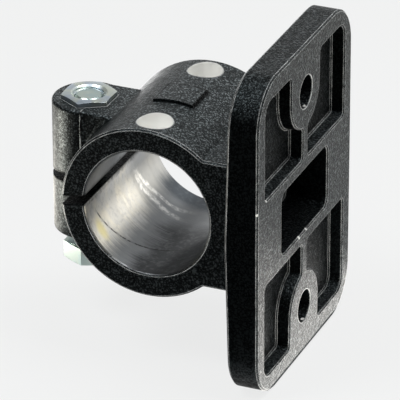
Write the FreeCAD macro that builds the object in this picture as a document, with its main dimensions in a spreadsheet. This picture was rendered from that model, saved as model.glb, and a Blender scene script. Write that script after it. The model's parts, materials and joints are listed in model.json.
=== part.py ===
"""Tube clamp connector: a slit ring and a ribbed flange cast in one, closed by a hexagon bolt and nut.

Frame, in millimetres: the origin is the middle of the bore, +Y runs along the clamped tube, +X points
out of the ribbed flange face and +Z is up. The casting is drawn as its upper half and mirrored in the
parting plane Z = 0, then the bore, slit, holes and nut seat are machined into it.
"""
import FreeCAD, Part
import math
import os

import Sketcher
from FreeCAD import Vector

SHEET = "Sizes"
FULL_TURN = 360
HALF_SIDE_ANGLE = 30
TOLERANCE = 1e-4

# Driving dimensions, in millimetres and degrees
SIZES = {
    "bore_dia": 27.0,
    "bore_break": 0.4,
    "ring_wall": 5.0,
    "ring_length": 35.6,
    "ring_edge": 0.4,
    "neck_gap": 1.3,
    "neck_drop": 4.5,
    "neck_blend": 0.9,
    "plate_thick": 7.2,
    "plate_width": 50.4,
    "plate_height": 69.0,
    "plate_corner": 9.6,
    "plate_edge": 0.4,
    "side_draft": 0.25,
    "back_draft": 1.5,
    "side_rim": 3.7,
    "end_rim": 4.3,
    "pocket_depth": 3.0,
    "pocket_corner": 3.0,
    "pocket_nook": 1.1,
    "pocket_draft": 5.0,
    "floor_blend": 0.3,
    "rib_edge": 0.3,
    "boss_dia": 15.4,
    "hole_edge": 10.5,
    "hole_dia": 7.0,
    "long_rib": 2.4,
    "cross_rib": 2.5,
    "recess_width": 25.2,
    "recess_height": 13.8,
    "recess_corner": 2.0,
    "recess_floor": 4.5,
    "recess_draft": 1.5,
    "ear_drop": 4.0,
    "ear_dia": 15.2,
    "ear_edge": 0.6,
    "ear_blend": 1.4,
    "ear_root": 1.1,
    "web_inset": 0.3,
    "bolt_wall": 3.3,
    "slit_width": 2.4,
    "slit_tip": 1.2,
    "slit_rise": 0.4,
    "slit_tilt": 8.5,
    "slit_overrun": 3.0,
    "pin_dia": 7.3,
    "pin_wall": 1.2,
    "badge_length": 8.6,
    "badge_width": 8.0,
    "badge_height": 0.5,
    "badge_root": 1.0,
    "bolt_dia": 6.0,
    "bolt_point": 0.6,
    "hole_clear": 0.3,
    "thread_clear": 0.05,
    "head_flats": 10.0,
    "head_height": 4.0,
    "head_gap": 3.1,
    "head_turn": 2.0,
    "end_recess": 0.4,
    "nut_flats": 10.0,
    "nut_height": 5.0,
    "nut_stand": 1.0,
    "nut_clear": 0.15,
    "nut_sink": 0.7,
    "crown_land": 0.2,
    "crown_slope": 15.0,
}

# Dimensions that follow from the driving ones
FORMULAS = {
    "bore_radius": "bore_dia / 2",
    "ring_radius": "bore_radius + ring_wall",
    "plate_back": "ring_radius + neck_gap",
    "face_reach": "plate_back + plate_thick",
    "half_height": "plate_height / 2",
    "end_half": "plate_width / 2",
    "mid_half": "end_half + half_height * tan(side_draft)",
    "end_back": "plate_back + half_height * tan(back_draft)",
    "neck_top": "ring_radius - neck_drop",
    "neck_end": "plate_back + (plate_thick - pocket_depth) / 2",
    "rim_side": "end_half - side_rim",
    "rim_end": "half_height - end_rim",
    "rib_top": "recess_height / 2 + cross_rib",
    "half_rib": "long_rib / 2",
    "hole_rise": "half_height - hole_edge",
    "hole_radius": "hole_dia / 2",
    "boss_radius": "boss_dia / 2",
    "floor_reach": "face_reach - pocket_depth",
    "recess_half": "recess_width / 2",
    "recess_rise": "recess_height / 2",
    "recess_depth": "face_reach - bore_radius - recess_floor",
    "shaft_radius": "bolt_dia / 2",
    "ear_hole": "shaft_radius + hole_clear",
    "ear_reach": "bore_radius + bolt_wall + ear_hole",
    "ear_top": "ring_radius - ear_drop",
    "ear_radius": "ear_dia / 2",
    "web_half": "ear_radius - web_inset",
    "slit_half": "slit_width / 2",
    "tip_half": "slit_tip / 2",
    "slit_start": "bore_radius / 2",
    "slit_run": "ear_reach + ear_radius + slit_overrun",
    "slit_in": "(bore_radius - slit_start) * tan(slit_tilt) + slit_rise",
    "slit_out": "(bore_radius - slit_run) * tan(slit_tilt) + slit_rise",
    "slit_in_top": "slit_in + slit_half / cos(slit_tilt)",
    "slit_in_low": "slit_in - slit_half / cos(slit_tilt)",
    "slit_out_top": "slit_out + tip_half / cos(slit_tilt)",
    "slit_out_low": "slit_out - tip_half / cos(slit_tilt)",
    "pin_radius": "pin_dia / 2",
    "pin_half": "ring_length / 2 - pin_wall - pin_radius",
    "badge_half": "badge_length / 2",
    "badge_top": "ring_radius + badge_height",
    "badge_base": "ring_radius - badge_root",
    "head_half": "head_flats / 2",
    "head_corner": f"head_half / cos({HALF_SIDE_ANGLE})",
    "head_mid": "head_corner / 2",
    "head_seat": "-ear_top - head_gap",
    "head_end": "head_seat - head_height",
    "head_land": "head_half - crown_land",
    "head_bevel": "head_end + (head_corner - head_land) * tan(crown_slope)",
    "nut_half": "nut_flats / 2",
    "nut_corner": f"nut_half / cos({HALF_SIDE_ANGLE})",
    "nut_mid": "nut_corner / 2",
    "nut_top": "ear_top + nut_stand",
    "nut_seat": "nut_top - nut_height",
    "nut_land": "nut_half - crown_land",
    "nut_shoulder": "nut_top - (nut_corner - nut_land) * tan(crown_slope)",
    "nut_bore": "shaft_radius + thread_clear",
    "seat_half": "nut_half + nut_clear",
    "seat_corner": f"seat_half / cos({HALF_SIDE_ANGLE})",
    "seat_mid": "seat_corner / 2",
    "seat_depth": "ear_top - nut_seat",
    "bolt_end": "nut_top - end_recess",
    "bolt_length": "bolt_end - head_seat",
}


def make_sheet(doc):
    """Writes the driving sizes and the formulas that follow from them into one spreadsheet."""
    sheet = doc.addObject("Spreadsheet::Sheet", SHEET)
    cells = [(alias, str(number)) for alias, number in SIZES.items()]
    cells += [(alias, "=" + formula) for alias, formula in FORMULAS.items()]
    for row, (alias, text) in enumerate(cells, start=1):
        sheet.set(f"A{row}", alias)
        sheet.set(f"B{row}", text)
        sheet.setAlias(f"B{row}", alias)
    doc.recompute()
    return sheet


def bound(cell):
    """Returns the expression that reads a cell, with an optional minus sign kept in front."""
    if cell.startswith("-"):
        return f"-{SHEET}.{cell[1:]}"
    return f"{SHEET}.{cell}"


class Drawing:
    """A sketch on one of a body's own planes, with every size read from the sheet."""

    def __init__(self, body, name, plane, offset=None, shift=None):
        self.sheet = body.Document.getObject(SHEET)
        self.sketch = body.newObject("Sketcher::SketchObject", name)
        support = next(part for part in body.Origin.OriginFeatures if part.Role == plane)
        self.sketch.AttachmentSupport = [(support, "")]
        self.sketch.MapMode = "FlatFace"
        if offset:
            self.sketch.setExpression("AttachmentOffset.Base.z", bound(offset))
        if shift:
            self.sketch.setExpression("AttachmentOffset.Base.x", bound(shift))

    def value(self, cell):
        """Returns a cell's number, negated where the name starts with a minus sign."""
        if cell == "0":
            return 0.0
        if cell.startswith("-"):
            return -float(self.sheet.get(cell[1:]))
        return float(self.sheet.get(cell))

    def rule(self, kind, *references):
        """Adds a constraint that reads no cell."""
        return self.sketch.addConstraint(Sketcher.Constraint(kind, *references))

    def measure(self, kind, *references, cell):
        """Adds a constraint whose size is a cell of the sheet."""
        index = self.rule(kind, *references, self.value(cell))
        if cell != "0":
            self.sketch.setExpression(f"Constraints[{index}]", bound(cell))

    def place(self, geometry, end, across, up):
        """Fixes a point at two cells' distances from the sketch's origin."""
        self.measure("DistanceX", -1, 1, geometry, end, cell=across)
        self.measure("DistanceY", -1, 1, geometry, end, cell=up)

    def line(self, start, end):
        """Adds a straight line between two points."""
        return self.sketch.addGeometry(Part.LineSegment(Vector(*start, 0), Vector(*end, 0)))

    def arc(self, centre, start, end, radius):
        """Adds an arc about a centre, anticlockwise from one point to another, with a cell's radius."""
        first = math.atan2(start[1] - centre[1], start[0] - centre[0])
        last = math.atan2(end[1] - centre[1], end[0] - centre[0])
        circle = Part.Circle(Vector(*centre, 0), Vector(0, 0, 1), self.value(radius))
        geometry = self.sketch.addGeometry(Part.ArcOfCircle(circle, first, last))
        self.measure("Radius", geometry, cell=radius)
        return geometry

    def path(self, pieces):
        """Adds a closed chain and returns its pieces in order.

        Each piece is (start, bend) and runs to the next one's start. A bend is None for a straight line,
        or (centre, turn, radius cell) for an arc, where turn is 1 anticlockwise and -1 clockwise.
        Pieces that meet in one direction are joined as tangents.
        """
        chain = []
        for index, (start, bend) in enumerate(pieces):
            end = pieces[(index + 1) % len(pieces)][0]
            if bend is None:
                heading = Vector(end[0] - start[0], end[1] - start[1], 0).normalize()
                chain.append((self.line(start, end), 1, 2, heading, heading))
                continue
            centre, turn, radius = bend
            first, last = (start, end) if turn > 0 else (end, start)
            geometry = self.arc(centre, first, last, radius)
            leaving, arriving = [
                Vector(centre[1] - point[1], point[0] - centre[0], 0).normalize() * turn
                for point in (start, end)
            ]
            begin, finish = (1, 2) if turn > 0 else (2, 1)
            chain.append((geometry, begin, finish, leaving, arriving))
        for index, (geometry, begin, _, heading, _) in enumerate(chain):
            before, _, finish, _, arrival = chain[index - 1]
            smooth = (heading - arrival).Length < TOLERANCE
            self.rule("Tangent" if smooth else "Coincident", before, finish, geometry, begin)
        return [piece[0] for piece in chain]

    def circle(self, across, up, radius):
        """Adds a circle whose centre and radius are cells."""
        centre = Vector(self.value(across), self.value(up), 0)
        shape = Part.Circle(centre, Vector(0, 0, 1), self.value(radius))
        geometry = self.sketch.addGeometry(shape)
        self.place(geometry, 3, across, up)
        self.measure("Radius", geometry, cell=radius)

    def polygon(self, corners):
        """Adds a closed outline of (across, up, radius) corners, where radius is a cell or None."""
        points = [(self.value(across), self.value(up)) for across, up, _ in corners]
        starts, ends = [], []
        for index, (_, _, radius) in enumerate(corners):
            here = Vector(*points[index], 0)
            back = (Vector(*points[index - 1], 0) - here).normalize()
            ahead = (Vector(*points[(index + 1) % len(points)], 0) - here).normalize()
            trim = self.value(radius) / math.tan(back.getAngle(ahead) / 2) if radius else 0.0
            ends.append(here + back * trim)
            starts.append(here + ahead * trim)
        lines = []
        for index, start in enumerate(starts):
            end = ends[(index + 1) % len(ends)]
            lines.append(self.line((start.x, start.y), (end.x, end.y)))
        for index, (across, up, radius) in enumerate(corners):
            before, after = lines[index - 1], lines[index]
            if radius:
                corner = self.sketch.addGeometry(Part.Point(Vector(*points[index], 0)), True)
                self.place(corner, 1, across, up)
                self.rule("PointOnObject", corner, 1, before)
                self.rule("PointOnObject", corner, 1, after)
                self.round(before, after, radius)
            else:
                self.rule("Coincident", before, 2, after, 1)
                self.place(after, 1, across, up)

    def round(self, before, after, radius):
        """Joins two lines of an outline with an arc that is tangent to both."""
        one, two = self.sketch.Geometry[before], self.sketch.Geometry[after]
        end, start = one.EndPoint, two.StartPoint
        heading = (one.EndPoint - one.StartPoint).normalize()
        turn = heading.cross(two.EndPoint - two.StartPoint).z
        left = Vector(-heading.y, heading.x, 0)
        centre = end + left * math.copysign(self.value(radius), turn)
        first, last = (end, start) if turn > 0 else (start, end)
        joint = self.arc((centre.x, centre.y), (first.x, first.y), (last.x, last.y), radius)
        self.rule("Tangent", before, 2, joint, 1 if turn > 0 else 2)
        self.rule("Tangent", after, 1, joint, 2 if turn > 0 else 1)

    def hexagon(self, half, corner, middle):
        """Adds a hexagon about the sketch's origin, with flats facing its X axis."""
        self.polygon([
            (half, "-" + middle, None),
            (half, middle, None),
            ("0", corner, None),
            ("-" + half, middle, None),
            ("-" + half, "-" + middle, None),
            ("0", "-" + corner, None),
        ])


def feature(body, kind, name, drawing, **settings):
    """Adds a sketch-based feature; a length or angle setting is the name of a cell."""
    made = body.newObject(f"PartDesign::{kind}", name)
    made.Profile = drawing.sketch
    for setting, value in settings.items():
        if setting in ("Length", "TaperAngle"):
            made.setExpression(setting, bound(value))
        else:
            setattr(made, setting, value)
    body.Document.recompute()
    return made


def turned(body, kind, name, drawing):
    """Adds a full turn of a sketch about its own vertical axis."""
    made = body.newObject(f"PartDesign::{kind}", name)
    made.Profile = drawing.sketch
    made.ReferenceAxis = (drawing.sketch, ["V_Axis"])
    made.Angle = FULL_TURN
    body.Document.recompute()
    return made


def dress(body, kind, name, radius, chosen):
    """Rounds or bevels the edges of the body's present shape that a test chooses."""
    base = body.Tip
    edges = [f"Edge{number}" for number, edge in enumerate(base.Shape.Edges, start=1) if chosen(edge)]
    made = body.newObject(f"PartDesign::{kind}", name)
    made.Base = (base, edges)
    made.setExpression("Radius" if kind == "Fillet" else "Size", bound(radius))
    body.Document.recompute()
    return made


def middle(edge):
    """Returns the point halfway along an edge."""
    return edge.valueAt((edge.FirstParameter + edge.LastParameter) / 2)


def on_plane(edge, axis, level):
    """Tells whether both ends and the middle of an edge lie at one level of an axis (0, 1 or 2)."""
    points = [vertex.Point for vertex in edge.Vertexes] + [middle(edge)]
    return all(abs(point[axis] - level) < TOLERANCE for point in points)


def flange_plate(body, size):
    """Upper half of the plate: drafted sides and back, rounded corners and broken edges."""
    outline = Drawing(body, "PlateOutline", "YZ_Plane", "plate_back")
    outline.polygon([
        ("-mid_half", "0", None),
        ("mid_half", "0", None),
        ("end_half", "half_height", "plate_corner"),
        ("-end_half", "half_height", "plate_corner"),
    ])
    feature(body, "Pad", "Plate", outline, Length="plate_thick")
    wedge = Drawing(body, "BackWedge", "XZ_Plane")
    wedge.polygon([
        ("plate_back", "0", None),
        ("end_back", "half_height", None),
        ("plate_back", "half_height", None),
    ])
    feature(body, "Pocket", "BackDraft", wedge, Type="ThroughAll", SideType="Symmetric")

    def outer(edge):
        face_edge = on_plane(edge, 0, size("face_reach"))
        back_edge = middle(edge).x < size("end_back") + TOLERANCE
        return (face_edge or back_edge) and not on_plane(edge, 2, 0.0)

    dress(body, "Chamfer", "PlateEdges", "plate_edge", outer)


def ring_and_neck(body, size):
    """Upper half of the ring and of the neck that carries it to the plate, with broken end edges."""
    section = Drawing(body, "RingSection", "XZ_Plane")
    radius, top, blend = size("ring_radius"), size("neck_top"), size("neck_blend")
    centre = (math.sqrt((radius + blend) ** 2 - (top + blend) ** 2), top + blend)
    touch = (centre[0] * radius / (radius + blend), centre[1] * radius / (radius + blend))
    ring, base, end, roof, _ = section.path([
        (touch, ((0.0, 0.0), 1, "ring_radius")),
        ((-radius, 0.0), None),
        ((size("neck_end"), 0.0), None),
        ((size("neck_end"), top), None),
        ((centre[0], top), (centre, -1, "neck_blend")),
    ])
    section.place(ring, 3, "0", "0")
    section.rule("Horizontal", base)
    section.rule("PointOnObject", base, 1, -1)
    section.rule("Vertical", end)
    section.rule("Horizontal", roof)
    section.place(roof, 1, "neck_end", "neck_top")
    feature(body, "Pad", "RingAndNeck", section, Length="ring_length", SideType="Symmetric")
    half = size("ring_length") / 2

    def end_edge(edge):
        at_end = on_plane(edge, 1, half) or on_plane(edge, 1, -half)
        free = middle(edge).x < size("plate_back") - TOLERANCE
        return at_end and free and not on_plane(edge, 2, 0.0)

    dress(body, "Chamfer", "RingEdges", "ring_edge", end_edge)

    def root_edge(edge):
        at_back = size("plate_back") - TOLERANCE < middle(edge).x < size("end_back")
        inside = abs(middle(edge).y) < half + TOLERANCE and middle(edge).z < top + TOLERANCE
        return at_back and inside and not on_plane(edge, 2, 0.0)

    dress(body, "Fillet", "NeckRoot", "neck_blend", root_edge)


def clamping_ear(body, size):
    """Upper half of the ear: a round boss for the bolt, blended into a web that runs into the ring."""
    plan = Drawing(body, "EarPlan", "XY_Plane")
    radius, half, blend = size("ear_radius"), size("web_half"), size("ear_blend")
    axis = -size("ear_reach")
    share = radius / (radius + blend)
    side = half + blend
    ahead = math.sqrt((radius + blend) ** 2 - side ** 2)
    touch = axis + ahead * share
    boss, _, lower_web, end, upper_web, _ = plan.path([
        ((touch, side * share), ((axis, 0.0), 1, "ear_radius")),
        ((touch, -side * share), ((axis + ahead, -side), -1, "ear_blend")),
        ((axis + ahead, -half), None),
        ((0.0, -half), None),
        ((0.0, half), None),
        ((axis + ahead, half), ((axis + ahead, side), -1, "ear_blend")),
    ])
    plan.place(boss, 3, "-ear_reach", "0")
    plan.rule("Horizontal", lower_web)
    plan.rule("Vertical", end)
    plan.place(end, 1, "0", "-web_half")
    plan.rule("Horizontal", upper_web)
    plan.measure("DistanceY", -1, 1, upper_web, 1, cell="web_half")
    feature(body, "Pad", "Ear", plan, Length="ear_top")
    ring_line = -math.sqrt(size("ring_radius") ** 2 - size("ear_top") ** 2)

    def crown(edge):
        outline = middle(edge).x < ring_line - TOLERANCE
        return on_plane(edge, 2, size("ear_top")) and outline

    dress(body, "Fillet", "EarEdges", "ear_edge", crown)

    def root(edge):
        middle_point = middle(edge)
        on_ring = abs(math.hypot(middle_point.x, middle_point.z) - size("ring_radius")) < TOLERANCE
        inside = abs(middle_point.y) < size("ear_radius") and middle_point.x < 0
        return on_ring and inside and not on_plane(edge, 2, 0.0)

    dress(body, "Fillet", "EarRoot", "ear_root", root)


def flange_pockets(body, size):
    """Two pockets in the upper half of the flange face, leaving a rim, a hole boss and thin ribs."""
    drawing = Drawing(body, "PocketOutlines", "YZ_Plane", "face_reach")
    rim, top, foot = size("rim_side"), size("rim_end"), size("rib_top")
    corner, nook, rib = size("pocket_corner"), size("pocket_nook"), size("half_rib")
    boss, rise = size("boss_radius"), size("hole_rise")
    drop = math.sqrt((boss + nook) ** 2 - (rib + nook) ** 2)
    share = boss / (boss + nook)
    for side, sign in ((1, ""), (-1, "-")):
        foot_line, _, rim_line, _, top_line, _, boss_side, boss_arc, _, rib_line, _ = drawing.path([
            ((side * (rib + nook), foot), None),
            ((side * (rim - nook), foot), ((side * (rim - nook), foot + nook), side, "pocket_nook")),
            ((side * rim, foot + nook), None),
            ((side * rim, top - corner), ((side * (rim - corner), top - corner), side, "pocket_corner")),
            ((side * (rim - corner), top), None),
            ((side * (boss + nook), top), ((side * (boss + nook), top - nook), side, "pocket_nook")),
            ((side * boss, top - nook), None),
            ((side * boss, rise), ((0.0, rise), -side, "boss_radius")),
            ((side * (rib + nook) * share, rise - drop * share),
             ((side * (rib + nook), rise - drop), side, "pocket_nook")),
            ((side * rib, rise - drop), None),
            ((side * rib, foot + nook), ((side * (rib + nook), foot + nook), side, "pocket_nook")),
        ])
        drawing.rule("Horizontal", foot_line)
        drawing.measure("DistanceY", -1, 1, foot_line, 1, cell="rib_top")
        drawing.rule("Vertical", rim_line)
        drawing.measure("DistanceX", -1, 1, rim_line, 1, cell=sign + "rim_side")
        drawing.rule("Horizontal", top_line)
        drawing.measure("DistanceY", -1, 1, top_line, 1, cell="rim_end")
        drawing.rule("Vertical", boss_side)
        drawing.place(boss_arc, 3, "0", "hole_rise")
        drawing.rule("Vertical", rib_line)
        drawing.measure("DistanceX", -1, 1, rib_line, 1, cell=sign + "half_rib")
    feature(body, "Pocket", "Pockets", drawing, Length="pocket_depth", TaperAngle="-pocket_draft")

    def floor(edge):
        return on_plane(edge, 0, size("floor_reach"))

    dress(body, "Chamfer", "PocketFloors", "floor_blend", floor)

    def mouth(edge):
        inner = abs(middle(edge).y) < rim + TOLERANCE and foot - TOLERANCE < middle(edge).z < top + TOLERANCE
        return inner and on_plane(edge, 0, size("face_reach"))

    dress(body, "Chamfer", "PocketMouths", "rib_edge", mouth)


def mirror_halves(body):
    """Mirrors the upper half in the parting plane and joins the two."""
    whole = body.newObject("PartDesign::Mirrored", "WholeCasting")
    whole.TransformMode = "Whole shape"
    parting = next(part for part in body.Origin.OriginFeatures if part.Role == "XY_Plane")
    whole.MirrorPlane = (parting, [""])
    body.Tip = whole
    body.Document.recompute()


def machining(body, size):
    """Bore, flange recess and holes, pin holes, bolt hole, nut seat and slit."""
    bore = Drawing(body, "BoreCircle", "XZ_Plane")
    bore.circle("0", "0", "bore_radius")
    feature(body, "Pocket", "Bore", bore, Type="ThroughAll", SideType="Symmetric")

    def bore_end(edge):
        round_edge = math.hypot(middle(edge).x, middle(edge).z) < size("bore_radius") + TOLERANCE
        return round_edge and abs(abs(middle(edge).y) - size("ring_length") / 2) < TOLERANCE

    dress(body, "Chamfer", "BoreBreaks", "bore_break", bore_end)
    recess = Drawing(body, "RecessOutline", "YZ_Plane", "face_reach")
    recess.polygon([
        ("-recess_half", "-recess_rise", "recess_corner"),
        ("recess_half", "-recess_rise", "recess_corner"),
        ("recess_half", "recess_rise", "recess_corner"),
        ("-recess_half", "recess_rise", "recess_corner"),
    ])
    feature(body, "Pocket", "Recess", recess, Length="recess_depth", TaperAngle="-recess_draft")

    def recess_mouth(edge):
        inner = abs(middle(edge).y) < size("recess_half") + TOLERANCE
        level = abs(middle(edge).z) < size("recess_rise") + TOLERANCE
        return inner and level and on_plane(edge, 0, size("face_reach"))

    dress(body, "Chamfer", "RecessMouth", "rib_edge", recess_mouth)
    holes = Drawing(body, "FlangeHoleCircles", "YZ_Plane", "face_reach")
    holes.circle("0", "hole_rise", "hole_radius")
    holes.circle("0", "-hole_rise", "hole_radius")
    feature(body, "Pocket", "FlangeHoles", holes, Type="ThroughAll")
    pins = Drawing(body, "PinHoleCircles", "XY_Plane", "badge_top")
    pins.circle("0", "pin_half", "pin_radius")
    pins.circle("0", "-pin_half", "pin_radius")
    feature(body, "Pocket", "PinHoles", pins, Length="badge_top")
    hole = Drawing(body, "BoltHoleCircle", "XY_Plane")
    hole.circle("-ear_reach", "0", "ear_hole")
    feature(body, "Pocket", "BoltHole", hole, Type="ThroughAll", SideType="Symmetric")
    seat = Drawing(body, "NutSeatOutline", "XY_Plane", "ear_top", "-ear_reach")
    seat.hexagon("seat_half", "seat_corner", "seat_mid")
    feature(body, "Pocket", "NutSeat", seat, Length="seat_depth")
    slit = Drawing(body, "SlitOutline", "XZ_Plane")
    slit.polygon([
        ("-slit_start", "slit_in_low", None),
        ("-slit_start", "slit_in_top", None),
        ("-slit_run", "slit_out_top", None),
        ("-slit_run", "slit_out_low", None),
    ])
    feature(body, "Pocket", "Slit", slit, Type="ThroughAll", SideType="Symmetric")


def badge_pad(body, size):
    """A plain low pad on top of the ring, curved with it."""
    section = Drawing(body, "BadgeSection", "XZ_Plane")
    half, top, base = size("badge_half"), size("badge_top"), size("badge_base")
    top_rise, base_rise = math.sqrt(top ** 2 - half ** 2), math.sqrt(base ** 2 - half ** 2)
    outer, left, inner, right = section.path([
        ((half, top_rise), ((0.0, 0.0), 1, "badge_top")),
        ((-half, top_rise), None),
        ((-half, base_rise), ((0.0, 0.0), -1, "badge_base")),
        ((half, base_rise), None),
    ])
    section.place(outer, 3, "0", "0")
    section.place(inner, 3, "0", "0")
    section.rule("Vertical", left)
    section.rule("Vertical", right)
    section.measure("DistanceX", -1, 1, left, 1, cell="-badge_half")
    section.measure("DistanceX", -1, 1, right, 1, cell="badge_half")
    feature(body, "Pad", "Badge", section, Length="badge_width", SideType="Symmetric")


def clamp_body(doc, size):
    """The casting: flange, ring, neck and ear in one, with its machined holes."""
    body = new_body(doc, "clamp_body")
    flange_plate(body, size)
    ring_and_neck(body, size)
    clamping_ear(body, size)
    flange_pockets(body, size)
    mirror_halves(body)
    badge_pad(body, size)
    machining(body, size)
    return body


def clamp_bolt(doc, size):
    """The hexagon head bolt, put in from below; its end stands inside the nut."""
    body = new_body(doc, "clamp_bolt")
    body.setExpression("Placement.Base.x", bound("-ear_reach"))
    body.setExpression("Placement.Rotation.Angle", bound("head_turn"))
    shank = Drawing(body, "ShankCircle", "XY_Plane", "head_seat")
    shank.circle("0", "0", "shaft_radius")
    feature(body, "Pad", "Shank", shank, Length="bolt_length")

    def point(edge):
        return on_plane(edge, 2, size("bolt_end"))

    dress(body, "Chamfer", "Point", "bolt_point", point)
    head = Drawing(body, "HeadOutline", "XY_Plane", "head_seat")
    head.hexagon("head_half", "head_corner", "head_mid")
    feature(body, "Pad", "Head", head, Length="head_height", Reversed=True)
    crown = Drawing(body, "HeadCrown", "XZ_Plane")
    crown.polygon([
        ("head_land", "head_end", None),
        ("head_corner", "head_end", None),
        ("head_corner", "head_bevel", None),
    ])
    turned(body, "Groove", "HeadBevel", crown)
    return body


def clamp_nut(doc, size):
    """The hexagon nut in its seat in the ear's top, bevelled on the side that stands out."""
    body = new_body(doc, "clamp_nut")
    body.setExpression("Placement.Base.x", bound("-ear_reach"))
    outline = Drawing(body, "NutOutline", "XY_Plane", "nut_seat")
    outline.hexagon("nut_half", "nut_corner", "nut_mid")
    feature(body, "Pad", "Hexagon", outline, Length="nut_height")
    crown = Drawing(body, "NutCrown", "XZ_Plane")
    crown.polygon([
        ("nut_land", "nut_top", None),
        ("nut_corner", "nut_top", None),
        ("nut_corner", "nut_shoulder", None),
    ])
    turned(body, "Groove", "NutBevel", crown)
    bore = Drawing(body, "ThreadCircle", "XY_Plane", "nut_top")
    bore.circle("0", "0", "nut_bore")
    feature(body, "Pocket", "Thread", bore, Type="ThroughAll")

    def thread_end(edge):
        inner = math.hypot(middle(edge).x, middle(edge).y) < size("nut_bore") + TOLERANCE
        return inner and (on_plane(edge, 2, size("nut_top")) or on_plane(edge, 2, size("nut_seat")))

    dress(body, "Chamfer", "Countersinks", "nut_sink", thread_end)
    return body


def new_body(doc, label):
    """Adds an empty body whose label names its file."""
    body = doc.addObject("PartDesign::Body", label)
    body.Label = label
    return body


def check(doc, bodies):
    """Raises an error where any object failed or a sub-part is not one valid solid."""
    failed = [obj.Name for obj in doc.Objects if "Invalid" in obj.State or "Error" in obj.State]
    if failed:
        raise RuntimeError("failed features: " + ", ".join(failed))
    for body in bodies:
        if body.Shape.isNull() or not body.Shape.isValid() or len(body.Shape.Solids) != 1:
            raise RuntimeError("not one valid solid: " + body.Label)


def main():
    """Builds the document, checks every object and writes one file for each sub-part."""
    doc = FreeCAD.newDocument("TubeClampConnector")
    sheet = make_sheet(doc)

    def size(cell):
        return float(sheet.get(cell))

    bodies = [build(doc, size) for build in (clamp_body, clamp_bolt, clamp_nut)]
    doc.recompute()
    check(doc, bodies)
    os.makedirs("parts", exist_ok=True)
    for body in bodies:
        body.Shape.exportStep(os.path.join("parts", body.Label + ".step"))
        print(body.Label, round(body.Shape.Volume, 1))


main()
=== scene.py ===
"""Looks of the tube clamp connector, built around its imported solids.

The casting keeps its solid and gets a coated finish that is bare where a cutter has passed. The
bolt and the nut are drawn anew with their threads. All lengths are metres in the part's own frame:
the origin is the middle of the bore, +Y runs along the bore, +X points out of the ribbed flange
face and +Z is up.
"""
import json
import logging
import math
from dataclasses import dataclass
from enum import Enum

import bpy
import numpy as np
from mathutils import Matrix, Vector

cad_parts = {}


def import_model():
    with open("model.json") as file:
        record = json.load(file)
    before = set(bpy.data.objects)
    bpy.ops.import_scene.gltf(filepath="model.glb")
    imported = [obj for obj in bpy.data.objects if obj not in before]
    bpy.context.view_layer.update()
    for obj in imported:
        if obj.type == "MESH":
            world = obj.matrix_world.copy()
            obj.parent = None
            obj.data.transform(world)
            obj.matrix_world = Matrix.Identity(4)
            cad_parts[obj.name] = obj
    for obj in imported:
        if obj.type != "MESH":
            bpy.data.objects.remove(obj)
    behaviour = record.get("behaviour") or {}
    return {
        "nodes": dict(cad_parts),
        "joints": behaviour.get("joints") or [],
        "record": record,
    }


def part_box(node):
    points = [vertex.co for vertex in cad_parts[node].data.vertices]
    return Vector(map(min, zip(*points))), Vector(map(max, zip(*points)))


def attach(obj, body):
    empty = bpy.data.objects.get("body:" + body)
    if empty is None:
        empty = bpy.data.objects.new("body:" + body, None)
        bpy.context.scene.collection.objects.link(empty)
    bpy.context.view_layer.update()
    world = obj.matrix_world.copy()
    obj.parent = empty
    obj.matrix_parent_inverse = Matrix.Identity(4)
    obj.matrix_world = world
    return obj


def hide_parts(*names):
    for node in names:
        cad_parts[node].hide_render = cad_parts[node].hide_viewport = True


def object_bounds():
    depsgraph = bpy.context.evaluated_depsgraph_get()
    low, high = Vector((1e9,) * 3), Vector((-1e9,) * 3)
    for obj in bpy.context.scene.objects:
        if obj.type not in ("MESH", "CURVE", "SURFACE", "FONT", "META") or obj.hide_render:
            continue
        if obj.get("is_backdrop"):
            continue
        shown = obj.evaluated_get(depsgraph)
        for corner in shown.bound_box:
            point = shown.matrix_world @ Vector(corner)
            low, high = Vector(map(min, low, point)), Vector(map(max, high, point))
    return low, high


LOG = logging.getLogger("tube_clamp")
MM = 0.001
NOISE_MIDDLE = 0.5

Colour = tuple[float, float, float, float]
Point = tuple[float, float, float]
Pair = tuple[float, float]
Socket = bpy.types.NodeSocket
Axes = tuple[Socket, Socket, Socket]
Feed = Socket | float | Point | Colour

WHITE: Colour = (1.0, 1.0, 1.0, 1.0)
ORIGIN: Point = (0.0, 0.0, 0.0)


class Ray(Enum):
    """The kinds of ray that a backdrop can tell apart, by the names of Light Path's outputs."""

    CAMERA = "Is Camera Ray"
    GLOSSY = "Is Glossy Ray"
    TRANSMISSION = "Is Transmission Ray"


class Slot(Enum):
    """The record's material slots of the new pieces."""

    BOLT = "zinc_bolt"
    NUT = "zinc_nut"


@dataclass(frozen=True)
class Ramp:
    """A smooth step from low, at start and before it, to high, at end and beyond it."""

    start: float
    end: float
    low: float = 0.0
    high: float = 1.0

    def scaled(self, size: float) -> "Ramp":
        """Returns the step with its start and end multiplied by a size."""
        return Ramp(self.start * size, self.end * size, self.low, self.high)

    def moved(self, way: float) -> "Ramp":
        """Returns the step with its start and end carried along by a way."""
        return Ramp(way + self.start, way + self.end, self.low, self.high)


@dataclass(frozen=True)
class Speckle:
    """A noise: its grains' size, its finer layers and their strength, and how it is squeezed."""

    size: float
    detail: float = 2.0
    roughness: float = 0.5
    squeeze: Point | None = None


@dataclass(frozen=True)
class Layer:
    """What a layer of a finish hands to the shader."""

    colour: Socket
    roughness: Socket
    height: Socket


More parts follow.
